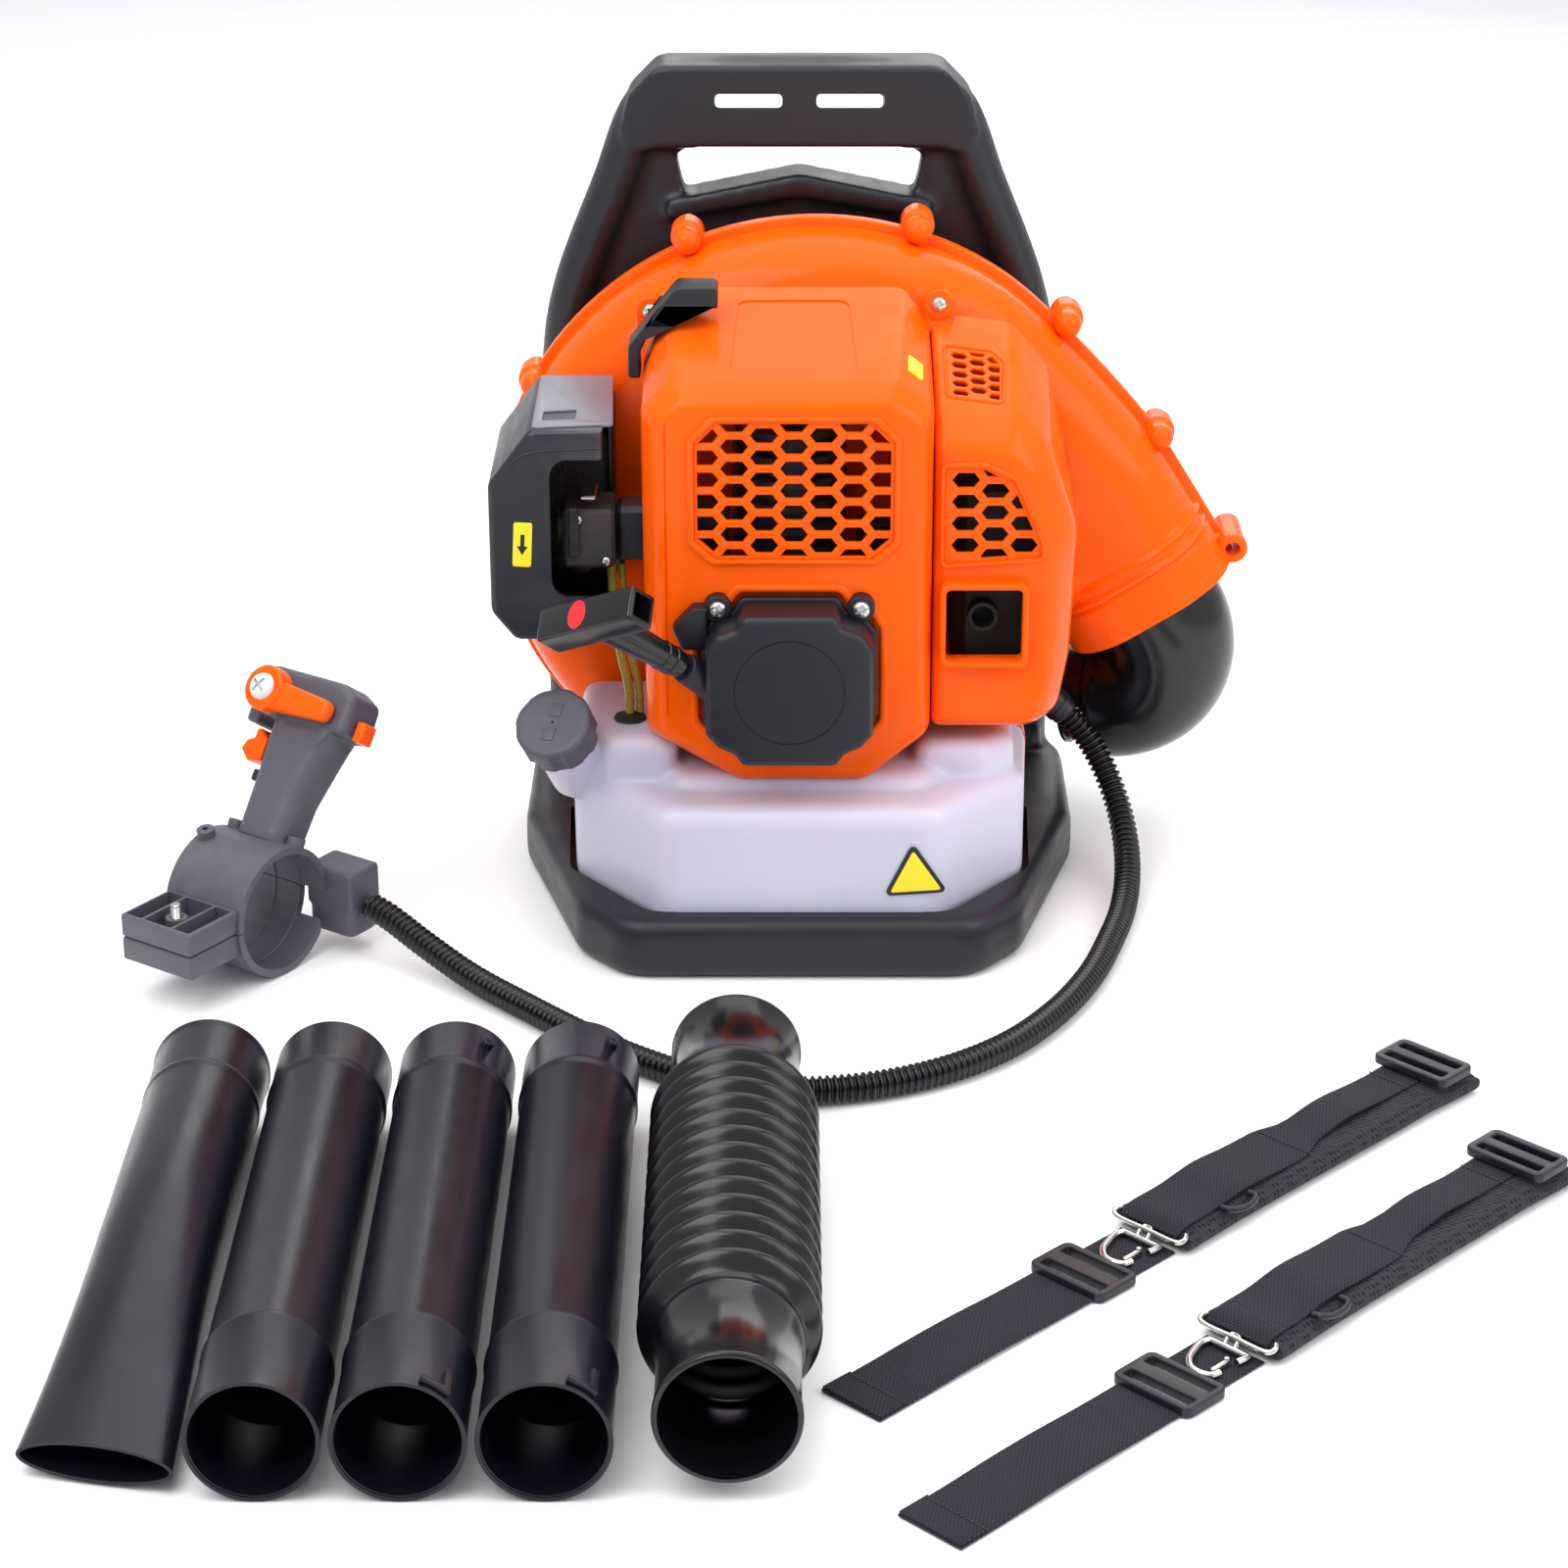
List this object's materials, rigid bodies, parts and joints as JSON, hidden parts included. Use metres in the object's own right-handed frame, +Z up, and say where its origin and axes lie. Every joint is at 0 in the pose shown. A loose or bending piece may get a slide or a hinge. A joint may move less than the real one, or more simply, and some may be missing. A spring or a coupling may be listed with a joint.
{
  "type": "backpack leaf blower",
  "caption": "Two-stroke backpack leaf blower with recoil starter, throttle handle on a conduit, and its loose tubes, nozzle, bellows hose and shoulder straps.",
  "frame": {"origin": "centre of the underside of the frame's base, on the floor", "axes": "+Z up, +Y towards the wearer's back, -Y towards the recoil starter, +X towards the air outlet"},
  "size_m": [0.7814, 0.8784, 0.466],
  "materials": {
    "orange_shell": "glossy moulded orange plastic",
    "black_gloss": "glossy black plastic",
    "black_moulded": "satin blow-moulded black plastic",
    "handle_grey": "matte dark grey plastic",
    "tank_white": "translucent white polyethylene",
    "rubber_black": "matte black rubber",
    "cast_alloy": "cast aluminium",
    "steel": "plated steel",
    "fuel_hose": "olive yellow fuel hose",
    "foam_black": "open-cell foam",
    "webbing": "woven black webbing",
    "pad_fabric": "padded black fabric and mesh",
    "rope_cord": "braided cord"
  },
  "bodies": {
    "root": {"air_filter_base": "black_moulded", "air_filter_element": "foam_black", "back_pad": "pad_fabric", "bellows_hose": "black_gloss", "blow_tube_1": "black_gloss", "blow_tube_2": "black_gloss", "blow_tube_3": "black_gloss", "carburetor": "cast_alloy", "clamp_bolt": "steel", "clamp_half": "handle_grey", "conduit_gland": "black_moulded", "crankcase": "cast_alloy", "cylinder": "cast_alloy", "engine_cover": "orange_shell", "fan_housing_front": "orange_shell", "fan_housing_rear": "orange_shell", "fishtail_nozzle": "black_gloss", "frame_back": "black_moulded", "frame_base": "black_moulded", "fuel_line": "fuel_hose", "fuel_tank": "tank_white", "handle_grip": "handle_grey", "housing_foot_left": "orange_shell", "housing_foot_right": "orange_shell", "intake_manifold": "black_moulded", "ladder_lock_a": "black_moulded", "ladder_lock_b": "black_moulded", "muffler": "steel", "muffler_cover": "orange_shell", "shoulder_pad_a": "pad_fabric", "shoulder_pad_b": "pad_fabric", "snap_hook_a": "steel", "snap_hook_b": "steel", "spark_plug": "steel", "starter_housing": "black_gloss", "tank_grommet": "rubber_black", "tensioner_a": "black_moulded", "tensioner_b": "black_moulded", "throttle_conduit": "black_gloss", "webbing_tail_a": "webbing", "webbing_tail_b": "webbing"},
    "crank_train": {"crankshaft": "steel", "flywheel": "cast_alloy", "fan_impeller": "black_moulded"},
    "piston": {"piston": "cast_alloy"},
    "pull_grip": {"starter_grip": "black_gloss"},
    "pulley": {"starter_pulley": "black_moulded", "starter_rope": "rope_cord"},
    "elbow": {"outlet_elbow": "black_gloss"},
    "cap": {"fuel_cap": "black_moulded"},
    "filter_cover": {"air_filter_cover": "black_moulded"},
    "latch": {"cover_latch": "black_moulded"},
    "choke": {"choke_lever": "black_moulded"},
    "throttle": {"throttle_arm": "steel"},
    "primer": {"primer_bulb": "rubber_black"},
    "trigger": {"throttle_trigger": "orange_shell"},
    "lever": {"lock_lever": "orange_shell"},
    "switch": {"stop_switch": "orange_shell"},
    "gate_a": {"hook_gate_a": "steel"},
    "gate_b": {"hook_gate_b": "steel"}
  },
  "joints": [
    {"name": "crank_spin", "type": "hinge", "parent": "root", "child": "crank_train", "pos_m": [-0.006, 0, 0.174], "axis": [0, 1, 0], "continuous": true},
    {"name": "piston_slide", "type": "slide", "parent": "root", "child": "piston", "axis": [0, 0, 1], "range_m": [-0.01, 0.012]},
    {"name": "starter_pull", "type": "slide", "parent": "root", "child": "pull_grip", "axis": [-0.6429, -0.4909, 0.5879], "range_m": [0, 0.45], "stiffness_N_per_m": 10, "springref_m": -0.2},
    {"name": "starter_pulley_spin", "type": "hinge", "parent": "root", "child": "pulley", "pos_m": [-0.006, -0.135, 0.174], "axis": [0, 1, 0], "range_deg": [0, 980]},
    {"name": "elbow_swivel", "type": "hinge", "parent": "root", "child": "elbow", "pos_m": [0.2107, 0.047, 0.1567], "axis": [0.5288, 0, -0.8487], "range_deg": [-10, 25]},
    {"name": "fuel_cap_turn", "type": "hinge", "parent": "root", "child": "cap", "pos_m": [-0.1405, -0.115, 0.14], "axis": [-0.22, -0.604, 0.766], "range_deg": [0, 540]},
    {"name": "air_filter_cover_slide", "type": "slide", "parent": "root", "child": "filter_cover", "axis": [-1, 0, 0], "range_m": [0, 0.08]},
    {"name": "cover_latch_turn", "type": "hinge", "parent": "root", "child": "latch", "pos_m": [-0.05, -0.047, 0.3715], "axis": [0, 1, 0], "range_deg": [0, 70]},
    {"name": "choke_lever_turn", "type": "hinge", "parent": "root", "child": "choke", "pos_m": [-0.127, -0.0977, 0.236], "axis": [0, 1, 0], "range_deg": [0, 60]},
    {"name": "throttle_arm_turn", "type": "hinge", "parent": "root", "child": "throttle", "pos_m": [-0.1185, -0.079, 0.2678], "axis": [0, 0, 1], "range_deg": [0, 57]},
    {"name": "primer_press", "type": "slide", "parent": "root", "child": "primer", "axis": [0, 0, 1], "range_m": [0, 0.003], "stiffness_N_per_m": 100, "springref_m": -0.0005},
    {"name": "trigger_squeeze", "type": "hinge", "parent": "root", "child": "trigger", "pos_m": [-0.30385, -0.08013, 0.11509], "axis": [-0.4677, -0.6725, 0.5736], "range_deg": [0, 14], "stiffness_Nm_per_rad": 0.05, "springref_deg": -8.59},
    {"name": "lock_lever_turn", "type": "hinge", "parent": "root", "child": "lever", "pos_m": [-0.30524, -0.083, 0.14721], "axis": [-0.4677, -0.6725, 0.5736], "range_deg": [-50, 20]},
    {"name": "stop_switch_slide", "type": "slide", "parent": "root", "child": "switch", "axis": [0.3275, 0.4709, 0.8192], "range_m": [0, 0.006]},
    {"name": "hook_gate_a_open", "type": "hinge", "parent": "root", "child": "gate_a", "pos_m": [0.16774, -0.47484, 0.0035], "axis": [0, 0, -1], "range_deg": [0, 30], "stiffness_Nm_per_rad": 0.005, "springref_deg": -5.73},
    {"name": "hook_gate_b_open", "type": "hinge", "parent": "root", "child": "gate_b", "pos_m": [0.20074, -0.57784, 0.0035], "axis": [0, 0, -1], "range_deg": [0, 30], "stiffness_Nm_per_rad": 0.005, "springref_deg": -5.73}
  ],
  "couplings": [
    {"joint": "starter_pulley_spin", "follows": "starter_pull", "rad_per_m": 37.7},
    {"joint": "throttle_arm_turn", "follows": "trigger_squeeze", "ratio": 4}
  ]
}
